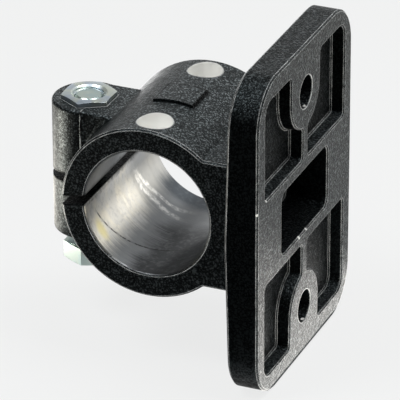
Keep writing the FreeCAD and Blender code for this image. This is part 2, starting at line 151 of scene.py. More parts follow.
class NodeSheet:
    """A node tree with short ways to add and join its nodes."""

    def __init__(self, tree: bpy.types.NodeTree) -> None:
        """Empties the tree.

        Args:
            tree: the node tree of a material or of the world.
        """
        self.tree = tree
        tree.nodes.clear()

    def feed(self, socket: Socket, value: Feed) -> None:
        """Links a socket to another, or sets its value.

        Args:
            socket: the input.
            value: an output to link, or a constant.
        """
        if isinstance(value, bpy.types.NodeSocket):
            self.tree.links.new(value, socket)
        else:
            socket.default_value = value

    def add(
        self, kind: str, inputs: dict[str | int, Feed] | None = None, **settings: object
    ) -> bpy.types.Node:
        """Adds a node.

        Args:
            kind: the node's type, without its leading word ShaderNode.
            inputs: what goes into its inputs, by name or number.
            settings: the node's own properties.

        Returns:
            The node.
        """
        node = self.tree.nodes.new("ShaderNode" + kind)
        for name, setting in settings.items():
            setattr(node, name, setting)
        for key, value in (inputs or {}).items():
            self.feed(node.inputs[key], value)
        return node

    def math(self, operation: str, *values: Feed) -> Socket:
        """Adds a sum of numbers.

        Args:
            operation: the sum's name, such as ADD.
            values: its operands.

        Returns:
            The result.
        """
        return self.add("Math", dict(enumerate(values)), operation=operation).outputs[0]

    def times(self, first: Feed, *others: Feed) -> Feed:
        """Multiplies numbers, from the first to the last.

        Args:
            first: the first factor.
            others: the factors after it.

        Returns:
            The product.
        """
        product = first
        for other in others:
            product = self.math("MULTIPLY", product, other)
        return product

    def gap(self, value: Feed, centre: Feed) -> Socket:
        """Returns the distance between two numbers."""
        return self.math("ABSOLUTE", self.math("SUBTRACT", value, centre))

    def vector(self, operation: str, *values: Feed) -> bpy.types.Node:
        """Returns the node of a sum of vectors."""
        return self.add("VectorMath", dict(enumerate(values)), operation=operation)

    def dot(self, first: Feed, second: Feed) -> Socket:
        """Returns the dot product of two vectors."""
        return self.vector("DOT_PRODUCT", first, second).outputs["Value"]

    def hypot(self, first: Feed, second: Feed) -> Socket:
        """Returns the length of a plane vector."""
        plane = self.add("CombineXYZ", {"X": first, "Y": second}).outputs[0]
        return self.vector("LENGTH", plane).outputs["Value"]

    def split(self, vector: Socket) -> Axes:
        """Returns the three parts of a vector."""
        return tuple(self.add("SeparateXYZ", {0: vector}).outputs)

    def place(self) -> Socket:
        """Returns the object coordinates."""
        return self.add("TexCoord").outputs["Object"]

    def remap(self, value: Feed, ramp: Ramp) -> Socket:
        """Carries a number through a smooth step.

        Args:
            value: the number.
            ramp: the step.

        Returns:
            The result.
        """
        inputs = {
            "Value": value,
            "From Min": ramp.start,
            "From Max": ramp.end,
            "To Min": ramp.low,
            "To Max": ramp.high,
        }
        return self.add("MapRange", inputs, interpolation_type="SMOOTHSTEP").outputs["Result"]

    def blend(self, share: Feed, first: Feed, second: Feed) -> Socket:
        """Mixes two numbers, first + share * (second - first).

        Args:
            share: how much of the second.
            first: the number at share 0.
            second: the number at share 1.

        Returns:
            The mixed number.
        """
        return self.add("Mix", {0: share, 2: first, 3: second}, data_type="FLOAT").outputs[0]

    def tint(self, share: Feed, first: Feed, second: Feed) -> Socket:
        """Mixes two colours.

        Args:
            share: how much of the second.
            first: the colour at share 0.
            second: the colour at share 1.

        Returns:
            The mixed colour.
        """
        return self.add("Mix", {0: share, 6: first, 7: second}, data_type="RGBA").outputs[2]

    def noise(self, coordinates: Socket, speckle: Speckle) -> Socket:
        """Adds noise in grains of a given size.

        Args:
            coordinates: where it is read, in metres.
            speckle: the noise.

        Returns:
            Its value, about 0.5.
        """
        if speckle.squeeze:
            coordinates = self.vector("MULTIPLY", coordinates, speckle.squeeze).outputs["Vector"]
        inputs = {
            "Vector": coordinates,
            "Scale": 1.0 / speckle.size,
            "Detail": speckle.detail,
            "Roughness": speckle.roughness,
        }
        return self.add("TexNoise", inputs).outputs[0]

    def bevel(self, radius: float, samples: int) -> Socket:
        """Returns the normal with edges rounded to a radius."""
        return self.add("Bevel", {"Radius": radius}, samples=samples).outputs[0]

    def bump(self, height: Socket, normal: Socket) -> Socket:
        """Returns a normal tilted by a height in metres."""
        inputs = {"Strength": 1.0, "Distance": 1.0, "Height": height, "Normal": normal}
        return self.add("Bump", inputs).outputs[0]

    def any_ray(self, *kinds: Ray) -> Socket:
        """Tells rays of some kinds from all others.

        Args:
            kinds: the kinds.

        Returns:
            1 for a ray of one of the kinds, and 0 for any other.
        """
        path = self.add("LightPath")
        total: Feed = 0.0
        for kind in kinds:
            total = self.math("MAXIMUM", total, path.outputs[kind.value])
        return total

    def emit(self, colour: Feed) -> Socket:
        """Returns a glow of strength 1."""
        return self.add("Emission", {"Color": colour, "Strength": 1.0}).outputs[0]

    def diffuse(self, colour: Feed) -> Socket:
        """Returns a matt surface."""
        return self.add("BsdfDiffuse", {"Color": colour}).outputs[0]

    def mix_shaders(self, share: Feed, first: Socket, second: Socket) -> Socket:
        """Returns two shaders mixed, with the second's share given."""
        return self.add("MixShader", {0: share, 1: first, 2: second}).outputs[0]


def new_material(name: str) -> tuple[bpy.types.Material, NodeSheet]:
    """Makes an empty node material.

    Args:
        name: its name.

    Returns:
        The material and its sheet of nodes.
    """
    material = bpy.data.materials.new(name)
    material.use_nodes = True
    return material, NodeSheet(material.node_tree)


def put(name: str, data: bpy.types.ID) -> bpy.types.Object:
    """Makes an object of a mesh, a light or a camera, and puts it in the scene.

    Args:
        name: its name.
        data: what it shows.

    Returns:
        The object, at the origin.
    """
    thing = bpy.data.objects.new(name, data)
    bpy.context.scene.collection.objects.link(thing)
    return thing


@dataclass(frozen=True)
class Slit:
    """The slit through ring and ear: half its width, and the rise and tilt of its middle plane."""

    bore_radius: float
    half: float = 1.1 * MM
    rise: float = 0.4 * MM
    tilt: float = math.tan(math.radians(8.5))

    def away(self, sheet: NodeSheet, x: Socket, z: Socket) -> Socket:
        """Works out the distance from the plane z = rise + tilt * (x + bore radius), along Z.

        Args:
            sheet: the nodes.
            x: distance along X.
            z: distance along Z.

        Returns:
            The distance.
        """
        at_middle = self.rise + self.tilt * self.bore_radius
        return sheet.gap(z, sheet.math("MULTIPLY_ADD", x, self.tilt, at_middle))


@dataclass(frozen=True)
class Chip:
    """A spot where the coat has come off, with its middle and size."""

    middle: Point
    radius: float


@dataclass(frozen=True)
class ToolMark:
    """A cutter's line in the bore, y = start + rise * angle, with its waver and its colour."""

    start: float
    rise: float
    first_angle: float
    last_angle: float
    width: float
    waver: float
    colour: Colour


@dataclass(frozen=True)
class PowderCoat:
    """Fine textured black powder coat: ridged grains, dust with painted glints, and a parting seam;
    edges and seam get a painted highlight.

    The ramps ring_dust_glint and flange are measured along X from the flange's face.
    """

    face: float
    seam_x: float
    dark: Colour = (0.0005, 0.0007, 0.0008, 1.0)
    light: Colour = (0.0022, 0.0029, 0.0031, 1.0)
    ridge_dust_glint: Colour = (0.140, 0.156, 0.160, 1.0)
    painted_highlight: Colour = (0.70, 0.71, 0.70, 1.0)
    sheen: Colour = (0.78, 0.95, 1.0, 1.0)
    grain: Speckle = Speckle(0.58 * MM, 1.0)
    peel: Speckle = Speckle(1.6 * MM, 1.0)
    grain_height: float = 0.44 * MM
    peel_height: float = 0.05 * MM
    seam_height: float = 0.12 * MM
    seam_edge: Ramp = Ramp(0.20 * MM, 0.06 * MM)
    sprayed_and_lit: Point = (0.8, 0.0, 0.6)
    spray_thickness: Ramp = Ramp(0.0, 0.6, 0.16, 1.0)
    facing_dust_glint: Ramp = Ramp(0.0, 0.6)
    ring_dust_glint: Ramp = Ramp(-7.0 * MM, -9.0 * MM, 0.0, 0.20)
    flange: Ramp = Ramp(-9.0 * MM, -7.0 * MM)
    flange_dust_glint: Ramp = Ramp(0.6, 0.75, 0.25, 0.5)
    grain_tone: Ramp = Ramp(0.02, 0.16)
    grain_dust_glint: Ramp = Ramp(0.09, 0.20, 0.10, 1.0)
    grain_shine: Ramp = Ramp(0.01, 0.13, 0.38, 1.52)
    edge_highlight_break: Ramp = Ramp(0.25, 0.6, 0.35, 1.0)
    seam_highlight_break: Ramp = Ramp(0.4, 0.6, 0.0, 0.6)
    roughness: Ramp = Ramp(0.3, 0.7, 0.30, 0.40)

    def layer(
        self, sheet: NodeSheet, spot: Socket, plain: Socket, edge: Socket, lit_share: Socket
    ) -> tuple[Layer, Socket]:
        """Works out the coat: grains on a soft orange peel, a parting seam and thin painted
        highlights on edges and seam.

        A grain's height is the distance of a noise from its middle value, which leaves winding
        creases that shine less. It is higher on the sides that faced the spray. The pale dust tone
        on its ridges is partly painted glints, strongest on those sides, which face the light.

        Args:
            sheet: the nodes.
            spot: object coordinates.
            plain: the normal of the bare solid.
            edge: 1 on an edge.
            lit_share: how much dust tone and painted glint is kept: 0 in the slit and the pad's
                crease, as painted shade, less in the pockets, and 1 in the open.

        Returns:
            The coat, and its share of shine.
        """
        x = sheet.split(spot)[0]
        grain = sheet.gap(sheet.noise(spot, self.grain), NOISE_MIDDLE)
        peel = sheet.noise(spot, self.peel)
        seam = sheet.remap(sheet.gap(x, self.seam_x), self.seam_edge)
        facing = sheet.dot(plain, self.sprayed_and_lit)

        # Dust tone on the grain's ridges, partly painted glints: some on the ring, more on the
        # sides turned up and towards +X, which face the light.
        on_ring = sheet.remap(x, self.ring_dust_glint.moved(self.face))
        on_flange = sheet.remap(x, self.flange.moved(self.face))
        dust_glint = sheet.math("MAXIMUM", on_ring, sheet.remap(facing, self.facing_dust_glint))
        thinned = sheet.blend(on_flange, 1.0, sheet.remap(facing, self.flange_dust_glint))
        dust_glint = sheet.times(dust_glint, thinned, lit_share)

        # Painted highlights: a pale tone on rounded edges and along the parting seam, broken up by
        # noise.
        painted_highlight = sheet.times(edge, sheet.remap(peel, self.edge_highlight_break))
        seam_highlight = sheet.times(seam, sheet.remap(peel, self.seam_highlight_break))
        painted_highlight = sheet.math("MAXIMUM", painted_highlight, seam_highlight)
        colour = sheet.tint(sheet.remap(grain, self.grain_tone), self.dark, self.light)
        ridge_dust_glint_share = sheet.times(sheet.remap(grain, self.grain_dust_glint), dust_glint)
        colour = sheet.tint(ridge_dust_glint_share, colour, self.ridge_dust_glint)
        colour = sheet.tint(painted_highlight, colour, self.painted_highlight)

        thickness = sheet.times(sheet.remap(facing, self.spray_thickness), self.grain_height)
        height = sheet.times(grain, thickness)
        height = sheet.math("MULTIPLY_ADD", peel, self.peel_height, height)
        height = sheet.math("MULTIPLY_ADD", seam, self.seam_height, height)
        coat = Layer(colour, sheet.remap(peel, self.roughness), height)
        return coat, sheet.remap(grain, self.grain_shine)


@dataclass(frozen=True)
class TurnedBore:
    """Bare turned aluminium: fine rings, zones of painted reflection and shade round the bore,
    cutter's lines, painted highlight streaks and a painted yellow reflection.

    Zones are ramps on the angle about the bore's axis, and depths are ramps along it.
    """

    radius: float
    slit: Slit
    marks: tuple[ToolMark, ...]
    cool: Colour = (0.80, 0.79, 0.76, 1.0)
    warm: Colour = (0.95, 0.91, 0.81, 1.0)
    grey: Colour = (0.36, 0.37, 0.38, 1.0)
    dark_metal: Colour = (0.085, 0.088, 0.092, 1.0)
    blue: Colour = (0.13, 0.15, 0.17, 1.0)
    yellow_reflection: Colour = (0.95, 0.86, 0.42, 1.0)
    rings: Speckle = Speckle(14.0 * MM, 3.0, 0.6, (1.0, 40.0, 1.0))
    cloud: Speckle = Speckle(7.0 * MM, 3.0, 0.6, (1.0, 1.6, 1.0))
    mottle: Speckle = Speckle(1.0 * MM, 2.0, 0.6)
    cloud_share: float = 0.5
    rings_share: float = 0.35
    warm_clouds: Ramp = Ramp(0.35, 0.62)
    grey_zone: Ramp = Ramp(math.radians(-140.0), math.radians(-118.0))
    dark_zone: Ramp = Ramp(math.radians(-116.0), math.radians(-94.0))
    dark_end: Ramp = Ramp(0.5, 0.0)
    blue_zone: Ramp = Ramp(math.radians(-150.0), math.radians(-128.0), 0.0, 0.85)
    blue_depth: Ramp = Ramp(13.0 * MM, 16.0 * MM)
    blue_waver: float = 4.0 * MM
    grey_depth: Ramp = Ramp(3.0 * MM, 10.0 * MM, 0.0, 0.80)
    grey_waver: float = 5.0 * MM
    mottle_grey: Ramp = Ramp(0.45, 0.75, 0.0, 0.30)
    mottle_break: Ramp = Ramp(0.62, 0.42, 0.30, 1.0)
    line_edge: Ramp = Ramp(1.0, 0.2)
    line_begins: Ramp = Ramp(0.0, 0.25)
    line_fades: Ramp = Ramp(0.0, -0.6)
    yellow_angle: float = math.radians(-147.0)
    yellow_y: float = -14.3 * MM
    yellow_squeeze: float = 1.8
    yellow_edge: Ramp = Ramp(3.4 * MM, 0.8 * MM, 0.0, 0.75)
    slit_darkening_edge: Ramp = Ramp(1.9 * MM, 0.6 * MM, 0.0, 0.9)
    slit_darkening_waver: float = 1.6 * MM
    roughness: Ramp = Ramp(0.3, 0.75, 0.30, 0.40)
    ring_height: float = 0.006 * MM
    below_coat: float = 0.05 * MM

    def line(
        self, sheet: NodeSheet, mark: ToolMark, angle: Socket, y: Socket, cloud: Socket
    ) -> Socket:
        """Marks a helical line, where y is close to start + rise * angle + waver * cloud.

        Args:
            sheet: the nodes.
            mark: the line.
            angle: the angle about the bore's axis.
            y: distance along the bore.
            cloud: a slow noise, which counts from its middle value.

        Returns:
            1 on the line.
        """
        at_start = mark.start - NOISE_MIDDLE * mark.waver
        level = sheet.math("MULTIPLY_ADD", angle, mark.rise, at_start)
        level = sheet.math("MULTIPLY_ADD", cloud, mark.waver, level)
        line = sheet.remap(sheet.gap(y, level), self.line_edge.scaled(mark.width))
        begun = sheet.remap(angle, self.line_begins.moved(mark.first_angle))
        ended = sheet.remap(angle, self.line_fades.moved(mark.last_angle))
        return sheet.times(line, sheet.times(begun, ended))

    def zones(
        self, sheet: NodeSheet, angle: Socket, y: Socket, cloud: Socket, rings: Socket
    ) -> Socket:
        """Tones the metal in cool and warm clouds, then paints reflection and shade: cream, grey
        and dark round the bore, and grey and blue farther in.

        Args:
            sheet: the nodes.
            angle: the angle about the bore's axis.
            y: distance along the bore.
            cloud: a slow noise.
            rings: the fine rings, which fray the zones' edges as the clouds do.

        Returns:
            The colour.
        """
        by_cloud = sheet.times(cloud, self.cloud_share)
        by_rings = sheet.times(rings, self.rings_share)
        middle = NOISE_MIDDLE * (self.cloud_share + self.rings_share)
        frayed = sheet.math("SUBTRACT", sheet.math("ADD", by_cloud, by_rings), middle)
        frayed = sheet.math("ADD", angle, frayed)

        colour = sheet.tint(sheet.remap(cloud, self.warm_clouds), self.cool, self.warm)
        # Painted reflection and shade by angle: cream low on the left wall, grey round most of the
        # bore, dark along the bottom and lower right; grey and blue deeper in.
        colour = sheet.tint(sheet.remap(frayed, self.grey_zone), colour, self.grey)
        darkened = sheet.remap(frayed, self.dark_zone)
        darkened = sheet.times(darkened, sheet.remap(angle, self.dark_end))
        colour = sheet.tint(darkened, colour, self.dark_metal)
        inward = sheet.math("MULTIPLY_ADD", cloud, self.grey_waver, y)
        colour = sheet.tint(sheet.remap(inward, self.grey_depth), colour, self.grey)
        inward = sheet.math("MULTIPLY_ADD", cloud, self.blue_waver, y)
        behind = sheet.remap(inward, self.blue_depth)
        behind = sheet.times(behind, sheet.remap(frayed, self.blue_zone))
        return sheet.tint(behind, colour, self.blue)

    def yellow_reflection_share(self, sheet: NodeSheet, angle: Socket, y: Socket) -> Socket:
        """Marks an oval yellow patch, a painted reflection, by its distance round the bore and
        along it.

        Args:
            sheet: the nodes.
            angle: the angle about the bore's axis.
            y: distance along the bore.

        Returns:
            How strong the patch is.
        """
        round_bore = sheet.math("SUBTRACT", angle, self.yellow_angle)
        along_bore = sheet.math("SUBTRACT", y, self.yellow_y)
        away = sheet.hypot(
            sheet.times(round_bore, self.radius),
            sheet.times(along_bore, self.yellow_squeeze),
        )
        return sheet.remap(away, self.yellow_edge)

    def layer(self, sheet: NodeSheet, spot: Socket) -> Layer:
        """Works out the metal: zones of painted reflection and shade, mottle, cutter's lines with
        painted highlights, a painted yellow reflection, and darker metal beside the slit.

        Args:
            sheet: the nodes.
            spot: object coordinates.

        Returns:
            The metal.
        """
        x, y, z = sheet.split(spot)
        angle = sheet.math("ARCTAN2", z, x)
        rings = sheet.noise(spot, self.rings)
        cloud = sheet.noise(spot, self.cloud)
        mottle = sheet.noise(spot, self.mottle)

        colour = self.zones(sheet, angle, y, cloud, rings)
        colour = sheet.tint(sheet.remap(mottle, self.mottle_grey), colour, self.grey)
        broken = sheet.remap(mottle, self.mottle_break)
        for mark in self.marks:
            line = sheet.times(broken, self.line(sheet, mark, angle, y, cloud))
            colour = sheet.tint(line, colour, mark.colour)
        # Painted reflection: an oval yellow patch low on the left wall, near the front.
        colour = sheet.tint(self.yellow_reflection_share(sheet, angle, y), colour, self.yellow_reflection)
        # Darker metal along the slit's edge in the bore.
        away = self.slit.away(sheet, x, z)
        slit_darkening = sheet.math("MULTIPLY_ADD", mottle, self.slit_darkening_waver, away)
        slit_darkening = sheet.remap(slit_darkening, self.slit_darkening_edge.moved(self.slit.half))
        slit_darkening = sheet.times(slit_darkening, sheet.math("LESS_THAN", x, 0.0))
        colour = sheet.tint(slit_darkening, colour, self.dark_metal)
        height = sheet.math("MULTIPLY_ADD", rings, self.ring_height, -self.below_coat)
        return Layer(colour, sheet.remap(rings, self.roughness), height)


@dataclass(frozen=True)
class CoatedCasting:
    """The casting's finish: powder coat, and bare metal in the bore, the fixing holes and chips.

    The pairs are half sides, of rim and recess along Y and Z, and of the pad along X and Y.
    """

    coat: PowderCoat
    bore: TurnedBore
    pin_radius: float
    pin_half: float
    rim: Pair
    chips: tuple[Chip, ...]
    drilled: Colour = (0.98, 0.97, 0.93, 1.0)
    drilled_roughness: float = 0.65
    bore_rim: float = 0.16 * MM
    pin_rim: float = 0.04 * MM
    rim_edge: Ramp = Ramp(0.04 * MM, -0.04 * MM)
    ragged: Speckle = Speckle(0.58 * MM, 3.0, 0.6)
    chip_fray: float = 2.0
    chip_edge: Ramp = Ramp(1.9, 1.7, 0.0, 0.75)
    wall_up: Ramp = Ramp(0.7, 0.3)
    pocket_reach: float = 6.0 * MM
    recess: Pair = (13.0 * MM, 7.3 * MM)
    recess_start: float = 0.6
    face_edge: Ramp = Ramp(0.0, -0.8 * MM)
    slit_edge: Ramp = Ramp(0.0, 0.3 * MM)
    pad: Pair = (4.3 * MM, 4.0 * MM)
    pad_foot: float = 3.0 * MM
    crease_edge: Ramp = Ramp(0.24 * MM, 0.44 * MM)
    edge_round: float = 0.50 * MM
    edge_samples: int = 8
    edge_turn: Ramp = Ramp(0.985, 0.89)
    pocket_shade: Ramp = Ramp(0.0, 1.0, 1.0, 0.4)
    specular: Ramp = Ramp(0.0, 1.0, 0.20, 0.07)
    refraction: float = 1.5
    brushed: float = 0.70
    brushed_turn: float = 0.25

    def bare_holes(self, sheet: NodeSheet, axes: Axes) -> tuple[Socket, Socket]:
        """Marks the bore and the fixing holes, each as a cylinder about its axis.

        Args:
            sheet: the nodes.
            axes: the three parts of the object coordinates.

        Returns:
            1 in the bore, and 1 in a fixing hole.
        """
        x, y, z = axes
        rim = self.rim_edge.moved(self.bore.radius + self.bore_rim)
        bore = sheet.remap(sheet.hypot(x, z), rim)
        from_pin = sheet.math("SUBTRACT", sheet.math("ABSOLUTE", y), self.pin_half)
        rim = self.rim_edge.moved(self.pin_radius + self.pin_rim)
        pin = sheet.remap(sheet.hypot(x, from_pin), rim)
        above = sheet.math("GREATER_THAN", z, 0.0)
        return bore, sheet.times(pin, above, sheet.math("SUBTRACT", 1.0, bore))

    def sunken(self, sheet: NodeSheet, axes: Axes, plain: Socket) -> Socket:
        """Marks the flange's pockets and recess behind its face, which get less shine and a darker
        tone, as painted shade.

        A pocket's wall that faces up is left out and keeps the open coat's tone.

        Args:
            sheet: the nodes.
            axes: the three parts of the object coordinates.
            plain: the normal of the bare solid.

        Returns:
            1 in a pocket or in the recess.
        """
        x, y, z = axes
        face = self.coat.face
        side, rise = sheet.math("ABSOLUTE", y), sheet.math("ABSOLUTE", z)
        pocket = sheet.times(
            sheet.remap(sheet.split(plain)[2], self.wall_up),
            sheet.math("LESS_THAN", side, self.rim[0]),
            sheet.math("LESS_THAN", rise, self.rim[1]),
            sheet.math("GREATER_THAN", x, face - self.pocket_reach),
        )
        recess = sheet.times(
            sheet.math("LESS_THAN", side, self.recess[0]),
            sheet.math("LESS_THAN", rise, self.recess[1]),
            sheet.math("GREATER_THAN", x, self.recess_start * face),
        )
        behind = sheet.remap(x, self.face_edge.moved(face))
        return sheet.times(behind, sheet.math("MAXIMUM", pocket, recess))

    def unshaded_places(self, sheet: NodeSheet, axes: Axes) -> Socket:
        """Marks where the dust tone, painted glints and painted highlights go: not into the slit or
        the crease round the low pad, which stay dark as painted shade.

        The crease lies about the pad's outline, where the larger of |x| and |y| less the pad's
        half sides is near 0.

        Args:
            sheet: the nodes.
            axes: the three parts of the object coordinates.

        Returns:
            0 in the slit or in the crease, and 1 elsewhere.
        """
        x, y, z = axes
        slit = self.bore.slit
        clear = sheet.remap(slit.away(sheet, x, z), self.slit_edge.moved(slit.half))
        clear = sheet.math("MAXIMUM", clear, sheet.math("GREATER_THAN", x, -self.bore.radius))
        long_way = sheet.math("SUBTRACT", sheet.math("ABSOLUTE", x), self.pad[0])
        cross_way = sheet.math("SUBTRACT", sheet.math("ABSOLUTE", y), self.pad[1])
        outline = sheet.math("ABSOLUTE", sheet.math("MAXIMUM", long_way, cross_way))
        below_pad = sheet.math("LESS_THAN", z, self.bore.radius + self.pad_foot)
        line = sheet.math("MAXIMUM", sheet.remap(outline, self.crease_edge), below_pad)
        return sheet.times(clear, line)

    def chipped(self, sheet: NodeSheet, spot: Socket) -> Socket:
        """Marks the chips: balls whose surface is broken up by noise.

        Args:
            sheet: the nodes.
            spot: object coordinates.

        Returns:
            How bare the surface is: most of it in a chip, and 0 elsewhere.
        """
        ragged = sheet.noise(spot, self.ragged)
        total: Feed = 0.0
        for chip in self.chips:
            away = sheet.vector("DISTANCE", spot, chip.middle).outputs["Value"]
            reach = sheet.math("MULTIPLY_ADD", ragged, self.chip_fray * chip.radius, away)
            inside = sheet.remap(reach, self.chip_edge.scaled(chip.radius))
            total = sheet.math("MAXIMUM", total, inside)
        return total

    def material(self) -> bpy.types.Material:
        """Builds the finish as one shader, whose colour, gloss and bump follow the bare zones.

        Returns:
            The material.
        """
        material, sheet = new_material("coated_casting")
        spot = sheet.place()
        axes = sheet.split(spot)
        bore, pin = self.bare_holes(sheet, axes)
        bare = sheet.math("MAXIMUM", pin, self.chipped(sheet, spot))

        rounded = sheet.bevel(self.edge_round, self.edge_samples)
        plain = sheet.add("NewGeometry").outputs["Normal"]
        # Painted shade: no dust tone, glints or highlights in the slit and the pad's crease, less
        # in the pockets, and less shine in all of them.
        unshaded = self.unshaded_places(sheet, axes)
        edge = sheet.times(unshaded, sheet.remap(sheet.dot(rounded, plain), self.edge_turn))
        sunken = self.sunken(sheet, axes, plain)
        matt = sheet.math("MAXIMUM", sunken, sheet.math("SUBTRACT", 1.0, unshaded))
        lit_share = sheet.times(unshaded, sheet.remap(sunken, self.pocket_shade))
        coat, shine = self.coat.layer(sheet, spot, plain, edge, lit_share)
        metal = self.bore.layer(sheet, spot)

        colour = sheet.tint(bare, sheet.tint(bore, coat.colour, metal.colour), self.drilled)
        roughness = sheet.blend(bore, coat.roughness, metal.roughness)
        any_bare = sheet.math("MAXIMUM", bore, bare)
        height = sheet.blend(any_bare, coat.height, metal.height)
        shader = sheet.add("BsdfPrincipled", {
            "Base Color": colour,
            "Metallic": bore,
            "Roughness": sheet.blend(bare, roughness, self.drilled_roughness),
            "IOR": self.refraction,
            "Specular IOR Level": sheet.times(shine, sheet.remap(matt, self.specular)),
            "Specular Tint": sheet.tint(bore, self.coat.sheen, WHITE),
            "Anisotropic": sheet.times(bore, self.brushed),
            "Anisotropic Rotation": self.brushed_turn,
            "Tangent": sheet.add("Tangent", direction_type="RADIAL", axis="Y").outputs[0],
            "Normal": sheet.bump(height, rounded),
        })
        sheet.add("OutputMaterial", {"Surface": shader.outputs[0]})
        return material


@dataclass(frozen=True)
class ZincPlate:
    """Bright zinc on steel, clouded between a blue and a pale green cast and finely scratched."""

    name: str
    blue: Colour
    green: Colour
    roughness: Ramp
    cloud: Speckle = Speckle(3.2 * MM, 3.0)
    cloud_edge: Ramp = Ramp(0.38, 0.62)
    scratch: Speckle = Speckle(0.5 * MM, 3.0, 0.6, (1.0, 1.0, 6.0))
    scratch_height: float = 0.0012 * MM
    edge_round: float = 0.12 * MM
    edge_samples: int = 6

    def material(self) -> bpy.types.Material:
        """Builds the plating.

        Returns:
            The material.
        """
        material, sheet = new_material(self.name)
        spot = sheet.place()
        cloud = sheet.remap(sheet.noise(spot, self.cloud), self.cloud_edge)
        scratch = sheet.noise(spot, self.scratch)
        rounded = sheet.bevel(self.edge_round, self.edge_samples)
        height = sheet.times(scratch, self.scratch_height)
        shader = sheet.add("BsdfPrincipled", {
            "Base Color": sheet.tint(cloud, self.blue, self.green),
            "Metallic": 1.0,
            "Roughness": sheet.remap(scratch, self.roughness),
            "Normal": sheet.bump(height, rounded),
        })
        sheet.add("OutputMaterial", {"Surface": shader.outputs[0]})
        return material


@dataclass(frozen=True)
class Thread:
    """A right-hand metric thread, with the crest's flat as a share of half a pitch."""

    pitch: float
    flat: float = 0.125

    def share(self, height: np.ndarray, angle: np.ndarray) -> np.ndarray:
        """Works out how far into the thread's groove each point is.

        The place in a turn is u = height / pitch - angle / (2 pi), less its whole part. The groove
        is a straight-sided valley: 0 where |2 u - 1| is within one flat of 1, 1 where it is below
        two flats, and straight between them.

        Args:
            height: heights along the axis.
            angle: angles about it.

        Returns:
            0 on the crest and 1 in the root.
        """
        turn = np.mod(height / self.pitch - angle / (2.0 * math.pi), 1.0)
        away = np.abs(2.0 * turn - 1.0)
        return np.clip((1.0 - self.flat - away) / (1.0 - 3.0 * self.flat), 0.0, 1.0)


@dataclass(frozen=True)
class Hexagon:
    """A hexagon about the axis, as a radius that depends on the angle."""

    half_flats: float
    turn: float

    def radius(self, angle: np.ndarray) -> np.ndarray:
        """Works out the outline, half / cos(angle from the middle of the nearest flat).

        Args:
            angle: angles about the axis.

        Returns:
            The distances of the outline from the axis.
        """
        sixth = math.pi / 3.0
        away = np.mod(angle - self.turn + sixth / 2.0, sixth) - sixth / 2.0
        return self.half_flats / np.cos(away)


class Skin:
    """A surface turned about an upright axis: rows along a profile by columns round the axis."""

    COLUMNS = 96
    SHARP = math.radians(28.0)

    def __init__(self, axis_x: float, turn: float) -> None:
        """Starts with no rows.

        Args:
            axis_x: where the axis stands on X.
            turn: the angle of the first column.
        """
        self.axis_x = axis_x
        self.angle = turn + np.arange(self.COLUMNS) * (2.0 * math.pi / self.COLUMNS)
        self.radii: list[np.ndarray] = []
        self.heights: list[np.ndarray] = []

    def rows(self, radius: np.ndarray | float, height: np.ndarray | float) -> None:
        """Adds rows to the profile.

        Args:
            radius: distances from the axis, for each row and column or one for all of them.
            height: heights, likewise.
        """
        radius, height = np.broadcast_arrays(np.atleast_2d(radius), np.atleast_2d(height))
        shape = (radius.shape[0], self.COLUMNS)
        self.radii.append(np.broadcast_to(radius, shape))
        self.heights.append(np.broadcast_to(height, shape))

    def mesh(self, name: str, ring: bool) -> bpy.types.Object:
        """Makes the mesh, with points at (axis + r cos a, r sin a, h).

        Args:
            name: the piece's name.
            ring: whether the profile closes on itself; otherwise flat ends close the surface.

        Returns:
            The piece, at the origin.
        """
        radius, height = np.concatenate(self.radii), np.concatenate(self.heights)
        points = np.stack([
            self.axis_x + radius * np.cos(self.angle),
            radius * np.sin(self.angle),
            height,
        ], axis=-1).reshape(-1, 3)
        index = np.arange(radius.size).reshape(radius.shape)
        beside = np.roll(index, -1, axis=1)
        corners = [index, np.roll(index, -1, axis=0), np.roll(beside, -1, axis=0), beside]
        quads = np.stack(corners, axis=-1)
        ends = []
        if not ring:
            quads = quads[:-1]
            ends = [index[0].tolist(), index[-1][::-1].tolist()]
        mesh = bpy.data.meshes.new(name)
        mesh.from_pydata(points, [], quads.reshape(-1, 4).tolist() + ends)
        mesh.polygons.foreach_set("use_smooth", np.ones(len(mesh.polygons), bool))
        mesh.set_sharp_from_angle(angle=self.SHARP)
        mesh.update()
        return put(name, mesh)


def settle(
    piece: bpy.types.Object, body: str, slot: Slot, material: bpy.types.Material, *nodes: str
) -> None:
    """Dresses a new piece and hands it to the body that carries it.

    Args:
        piece: the piece.
        body: the body's name.
        slot: the record's slot for its finish; not used.
        material: its material.
        nodes: the solids that it stands for.
    """
    piece.data.materials.append(material)
    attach(piece, body)
    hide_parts(*nodes)
    LOG.info("%s: %d faces on body %s", piece.name, len(piece.data.polygons), body)


@dataclass
class Fastener:
    """What bolt and nut share: an upright axis, a thread, and a hexagon with a bevelled crown."""

    axis_x: float
    top: float
    bottom: float
    pitch: float = 1.0 * MM
    half_flats: float = 5.0 * MM
    land: float = 4.8 * MM
    slope: float = math.tan(math.radians(15.0))
    rows_a_turn: int = 12

    def levels(self, start: float, end: float) -> np.ndarray:
        """Returns a column of heights from start to end, with enough rows for the thread."""
        turns = abs(end - start) / self.pitch
        return np.linspace(start, end, int(turns * self.rows_a_turn))[:, None]

    def bevel(self, outline: np.ndarray) -> np.ndarray:
        """Returns how far the crown falls off at an outline, slope * (outline - land)."""
        return self.slope * np.maximum(outline - self.land, 0.0)


